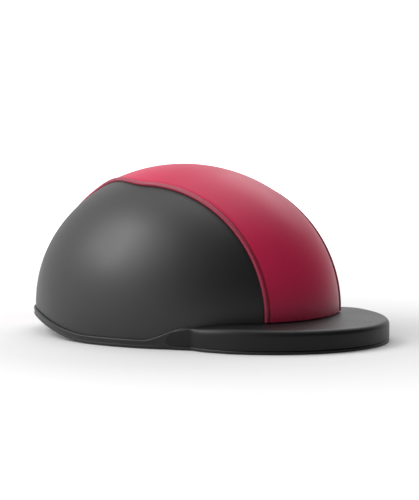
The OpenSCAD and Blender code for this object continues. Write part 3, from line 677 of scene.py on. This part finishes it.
def impact_liner():
    """Bead foam, with pockets round the harness anchors and the peak's rivets."""
    phi = bearings(240)
    # The lower edge, which is cut up at the back for the fit system
    low = 12 + 46 * smooth((np.abs(phi) - 114) / 16)
    share = np.linspace(0, 1, 60)[:, None]

    def angles(off):
        first = angle_at(low, off)
        return first + (TOP_ANGLE - first) * share

    def pocket(deepest, along, half, top, fade):
        """A recess with soft sides: along is the distance from its middle, half its half width."""
        return deepest * smooth((half - np.abs(along)) / 2) * smooth((top - z) / fade)

    angle = angles(LINER_OUT)
    z = skin(phi[None] + 0 * share, angle, LINER_OUT)[..., 2]
    depth = np.zeros(angle.shape)
    for x in ANCHOR_X:
        at = np.degrees(np.arccos(x / (CROWN_A + SHELL_IN)))
        along = np.radians(np.abs(phi) - at)[None] * 118
        depth = np.maximum(depth, pocket(4.6, along, 15, 44, 3))
    for at in RIVET_BEARINGS:
        along = np.radians(phi - at)[None] * 120
        depth = np.maximum(depth, pocket(3.0, along, 7, 19, 2))
    outer = skin(phi[None] + 0 * share, angle, LINER_OUT - depth)
    inner = skin(phi[None] + 0 * share, angles(LINER_IN), LINER_IN)
    tops = [skin(0, 90, LINER_OUT), skin(0, 90, LINER_IN)]
    points, faces = closed_between(outer, inner, True, tops)
    make("bead_foam_liner", points, faces, "shell", FOAM, replaces=["impact_liner"])


def rounding(distance, radius):
    """0 at an edge, 1 from radius inwards, along a quarter circle."""
    return np.sqrt(np.maximum(0, 1 - (1 - np.clip(distance / radius, 0, 1)) ** 2))


def quilt(distance, pitch, depth):
    """How far a stitched channel pulls the cloth in, at distances measured across the channels."""
    to_seam = np.abs((distance / pitch + 0.5) % 1 - 0.5) * pitch
    return depth * np.exp(-((to_seam / 1.5) ** 2))


def puffed(edge, radius):
    """A pad's share of its full thickness, at distances from its edge."""
    return 0.12 + 0.88 * rounding(edge, radius)


def pad(name, back, front, body, node, ring=False, tops=None):
    """A quilted fabric pad between its back and front grids."""
    points, faces = closed_between(back, front, ring, tops)
    obj = make(name, points, faces, body, PADDING, sharp=70, replaces=[node])


def wall_pad(name, node, first, last, top, pitch):
    """A pad on the liner's wall between two bearings, up to height top, with channels a pitch apart."""
    bottom = 12
    phi = np.linspace(first, last, 121)[None]
    z = np.linspace(bottom, top, 61)[:, None]
    along = np.abs(np.radians(phi - first)) * 96
    edge = np.minimum(np.minimum(along, along[0, -1] - along), np.minimum(z - bottom, top - z))
    dip = quilt(along - along[0, -1] / 2, pitch, 1.5) + quilt(z - (bottom + top) / 2, 100, 1.2)
    sunk = dip * smooth((edge - 2) / 3)

    def layer(off):
        return skin(phi + 0 * z, angle_at(z + 0 * phi, off), off)

    pad(name, layer(PAD_OUT), layer(PAD_OUT - PAD_T * puffed(edge, 5) + sunk), "shell", node)


def crown_pad():
    """The round pad at the top, with a stitched ring and eight stitched spokes."""
    thick, last, spoke = 4.0, 88, 45
    phi = (np.arange(144) * 2.5)[None]
    low = float(angle_at(90.0, PAD_OUT))
    angle = np.linspace(low, last, 46)[:, None]
    out = np.radians(angle - low) * 95 + 0 * phi
    to_spoke = np.abs((phi / spoke + 0.5) % 1 - 0.5) * np.radians(spoke) * (np.radians(90 - angle) * 90)
    dip = 1.1 * np.exp(-((to_spoke / 1.6) ** 2)) + quilt(out - 26, 200, 1.1)
    dip = np.minimum(dip, 1.3) * smooth((out - 2) / 3) * smooth((last - angle) / 6)

    def layer(off):
        return skin(phi + 0 * angle, angle + 0 * phi, off)

    front = layer(PAD_OUT - thick * puffed(out, 4) + dip)
    tops = [skin(0, 90, PAD_OUT), skin(0, 90, PAD_OUT - thick)]
    pad("crown_cushion", layer(PAD_OUT), front, "shell", "crown_pad", True, tops)


def nape_pad():
    """The pad on the cradle's inner face, a stretch of a cylinder that rides with the fit system."""
    half_turn, bottom, top = 23.2, 13.1, 46.9
    axis_x, radius, thick = -13, 88.85, 4.9
    turn = np.linspace(-half_turn, half_turn, 81)[None]
    z = np.linspace(bottom, top, 45)[:, None]
    along = np.radians(turn + half_turn) * 86
    edge = np.minimum(np.minimum(along, along[0, -1] - along), np.minimum(z - bottom, top - z))
    dip = quilt(along - along[0, -1] / 2, 17, 1.3) * smooth((edge - 2) / 3)

    def layer(r):
        a = np.radians(turn)
        return np.stack([axis_x - r * np.cos(a), 0 * z - r * np.sin(a), z + 0 * turn + 0 * r], -1)

    front = layer(radius - thick * puffed(edge, 4) + dip)
    pad("nape_cushion", layer(radius + 0 * edge), front, "cradle", "nape_pad")


# --- Harness ------------------------------------------------------------------


def ribbon(name, path, middle, half, thick, flip):
    """A flat webbing strap: path is (y, z) points, middle and half are its centre and half width in x.

    flip is 1 on the left and -1 on the right.
    """
    ahead = np.gradient(path, axis=0)
    ahead /= np.linalg.norm(ahead, axis=1, keepdims=True)
    normal = np.stack([-ahead[:, 1], ahead[:, 0]], -1)
    s = np.sin(np.linspace(-90, 90, 17) * np.pi / 180)
    h = thick / 2 * np.maximum(0.25, (1 - np.abs(s) ** 10)) ** 0.5
    x = middle[:, None] + half[:, None] * s
    sides = []
    for way in (1, -1):
        y = path[:, :1] + way * normal[:, :1] * h
        z = path[:, 1:] + way * normal[:, 1:] * h
        sides.append(np.stack([x, y * flip, z], -1))
    points, faces = closed_between(*sides)
    if flip < 0:
        faces = [f[::-1] for f in faces]
    run = np.concatenate([[0], np.cumsum(np.linalg.norm(np.diff(path, axis=0), axis=1))]) / 1000
    uv = np.stack([run[:, None] + 0 * x, (x - middle[:, None]) / 1000], -1).reshape(-1, 2)
    obj = mesh_object(name, points, faces, WEBBING)
    layer = obj.data.uv_layers.new(name="uv")
    corner = np.empty(len(obj.data.loops), int)
    obj.data.loops.foreach_get("vertex_index", corner)
    layer.data.foreach_set("uv", np.concatenate([uv, uv])[corner].ravel())
    return obj


def anchored_strap(x, where, side, flip):
    """A front or rear strap, from under its anchor at x to the divider, where it is narrower."""
    tail, start, end = 90.3, 63.1, 22
    v = np.concatenate([np.linspace(tail, start, 32), np.linspace(62, end, 40)])
    share = np.clip((start - v) / (start - end), 0, 1)
    middle = x + (math.copysign(5.5, x) - x) * share
    path = np.stack([v, 0 * v + FOLD_Z], -1)
    strap = ribbon(f"{where}_webbing_{side}", path, middle, 7.5 - 2.5 * share, 1.6, flip)
    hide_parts(f"{where}_strap_{side}", "strap_tails")
    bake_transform(strap)


def chin_strap(side, end, flip):
    """A chin strap, turned round the divider's bar and led out to end."""
    path = np.concatenate(
        [
            [[9.0, 2.6], [9.0, 3.6], [8.9, 4.6], [8.5, 5.4], [7.6, 5.9], [6.4, 6.0], [5.2, 6.0]],
            arc(4, 7.85, 1.85, 270, 90, 15),
            np.stack([np.linspace(5, end, 36), np.full(36, CHIN_Z)], -1),
        ]
    )
    strap = ribbon("chin_webbing_" + side, path, 0 * path[:, 0], 8 + 0 * path[:, 0], 1.5, flip)
    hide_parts("chin_strap_" + side)
    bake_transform(strap)


def harness():
    """The six straps, each a ribbon of webbing laid along a fixed path."""
    for flip, side, end in ((1, "left", 35.0), (-1, "right", 40.0)):
        for x, where in zip(ANCHOR_X, ("front", "rear")):
            anchored_strap(x, where, side, flip)
        chin_strap(side, end, flip)


def squared(wave, power):
    """A sine or cosine raised to a power with its sign kept, which squares off an ellipse."""
    return np.sign(wave) * np.abs(wave) ** power


def chin_pad():
    """The soft sleeve round the left chin strap."""
    first, last = 10, 32
    y = first + (last - first) * (1 - np.cos(np.linspace(0, np.pi, 41))) / 2
    edge = np.minimum(y - first, last - y)
    swell = 0.45 + 0.55 * rounding(edge, 5)
    wide = 12 - 2.2 * (1 - rounding(edge, 4))
    a = np.radians(np.arange(48) * 7.5)
    cx, cz = squared(np.cos(a), 0.45), squared(np.sin(a), 0.7)
    x, z = wide[:, None] * cx, CHIN_Z + 3.1 * swell[:, None] * cz
    points, faces = swept(np.stack([x, y[:, None] + 0 * cx, z], -1)[::-1])
    obj = make("chin_cushion", points, faces, "chin_left", LEATHER, 70, ["chin_pad"])


def carried_over():
    """Finishes, and softened edges, for the moulded and metal pieces that keep their exact form."""
    rivets = "peak_rivets harness_anchors harness_rivets tail_rivets".split()
    screws = "track_screws housing_screws dial_shaft dial_screw".split()
    fit_system = "cradle_track track_feet gear_housing housing_cover cradle_frame".split()
    bands = "band_left band_right".split()
    prongs = "prong_front prong_rear".split()
    fittings = "ear_divider_left ear_divider_right buckle_socket buckle_plug chin_adjuster".split()
    finishes = {
        STEEL: rivets + screws,
        MOULDED: fit_system + bands + prongs + fittings,
        RUBBER: ["dial_knob"],
        WEBBING_PLAIN: ["chin_keeper"],
    }
    softened = fittings + ["dial_knob", "chin_keeper"]
    for finish, names in finishes.items():
        for name in names:
            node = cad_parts[name]
            node.data.materials.clear()
            node.data.materials.append(finish)
            if name in softened:
                bevel = node.modifiers.new("soft_edges", "BEVEL")
                bevel.width, bevel.segments, bevel.limit_method = 0.0005, 3, "ANGLE"
                bevel.angle_limit = math.radians(50)


outer_shell()
side_covers()
centre_panel()
piping()
edge_trim()
peak()
impact_liner()
crown_pad()
wall_pad("brow_cushion", "front_pad", -60, 60, 52, 22)
wall_pad("side_cushion_left", "side_pad_left", 63, 113, 48, 20)
wall_pad("side_cushion_right", "side_pad_right", -63, -113, 48, 20)
nape_pad()
harness()
chin_pad()
carried_over()


# --- Camera, light and floor --------------------------------------------------

AZIMUTH, ELEVATION, DISTANCE = math.radians(36.2), math.radians(5.6), 2.6
ACROSS = math.cos(ELEVATION)
TO_CAMERA = Vector((math.sin(AZIMUTH) * ACROSS, -math.cos(AZIMUTH) * ACROSS, math.sin(ELEVATION)))
RIGHT = Vector((math.cos(AZIMUTH), math.sin(AZIMUTH), 0))


def look_at(obj, target):
    """Turns a camera or a light towards a point."""
    obj.rotation_euler = (target - obj.location).to_track_quat("-Z", "Y").to_euler()


def set_camera():
    """A long lens, aimed at the middle of the part."""
    low, high = (Vector(corner) for corner in cad_box)
    middle = (low + high) / 2
    camera = bpy.data.objects.new("camera", bpy.data.cameras.new("camera"))
    bpy.context.collection.objects.link(camera)
    camera.location = middle + DISTANCE * TO_CAMERA
    look_at(camera, middle)
    camera.data.lens = 230
    camera.data.clip_end = 50
    bpy.context.scene.camera = camera


def area_light(name, place, size, power):
    """A soft box of a width and height in metres, aimed at the crown."""
    light = bpy.data.objects.new(name, bpy.data.lights.new(name, "AREA"))
    light.data.shape = "RECTANGLE"
    light.data.size, light.data.size_y = size
    light.data.energy = power
    light.location = place
    look_at(light, Vector((0, 0, 0.06)))
    bpy.context.collection.objects.link(light)


def white_floor():
    """A white floor: grey enough to take a shadow by the part, glowing white far out, clear from below."""
    f = Finish("floor", (0.66, 0.66, 0.66), 0.8, Emission_Color=(1, 1, 1, 1), Specular_IOR_Level=0.2)
    away = f.node("ShaderNodeVectorMath", operation="LENGTH")
    f.link(f.coords, away.inputs[0])
    glow = f.ramped(away.outputs["Value"], From_Min=0.2, From_Max=1.2, To_Min=0.05, To_Max=1.0)
    f.link(glow, f.bsdf.inputs["Emission Strength"])
    from_below = f.node("ShaderNodeMixShader")
    f.link(f.node("ShaderNodeNewGeometry").outputs["Backfacing"], from_below.inputs["Fac"])
    f.link(f.bsdf.outputs["BSDF"], from_below.inputs[1])
    f.link(f.node("ShaderNodeBsdfTransparent").outputs["BSDF"], from_below.inputs[2])
    f.link(from_below.outputs["Shader"], f.tree.nodes["Material Output"].inputs["Surface"])
    bpy.ops.mesh.primitive_plane_add(size=30, location=(0, 0, 0))
    floor = bpy.context.object
    floor.name = "floor"
    floor.data.materials.append(f.mat)


def studio_world():
    """A studio that is near black to the right and behind the camera, and white elsewhere.

    The camera itself sees it white all round.
    """
    world = bpy.data.worlds.new("studio")
    bpy.context.scene.world = world
    world.use_nodes = True
    nodes, links = world.node_tree.nodes, world.node_tree.links
    coords = nodes.new("ShaderNodeTexCoord")
    facing = nodes.new("ShaderNodeVectorMath")
    facing.operation = "DOT_PRODUCT"
    facing.inputs[1].default_value = RIGHT * 0.78 + TO_CAMERA * 0.62
    ramp = nodes.new("ShaderNodeMapRange")
    ramp.interpolation_type = "SMOOTHSTEP"
    for key, value in (("From Min", -0.35), ("From Max", 0.65), ("To Min", 1.0), ("To Max", 0.03)):
        ramp.inputs[key].default_value = value
    links.new(coords.outputs["Generated"], facing.inputs[0])
    links.new(facing.outputs["Value"], ramp.inputs["Value"])
    nodes["Background"].inputs["Color"].default_value = (1, 1, 1, 1)
    rays = nodes.new("ShaderNodeLightPath")
    seen = nodes.new("ShaderNodeMath")
    seen.operation = "MAXIMUM"
    links.new(rays.outputs["Is Camera Ray"], seen.inputs[0])
    links.new(ramp.outputs["Result"], seen.inputs[1])
    links.new(seen.outputs["Value"], nodes["Background"].inputs["Strength"])


set_camera()
area_light("left_soft", (-0.90, -0.92, 1.12), (0.9, 1.0), 20)
area_light("top_soft", (-0.1, 0.5, 1.9), (1.4, 1.4), 10)
area_light("back_soft", (-0.3, 1.5, 1.2), (1.0, 0.8), 6)
white_floor()
studio_world()
bpy.context.scene.view_settings.view_transform = "Standard"
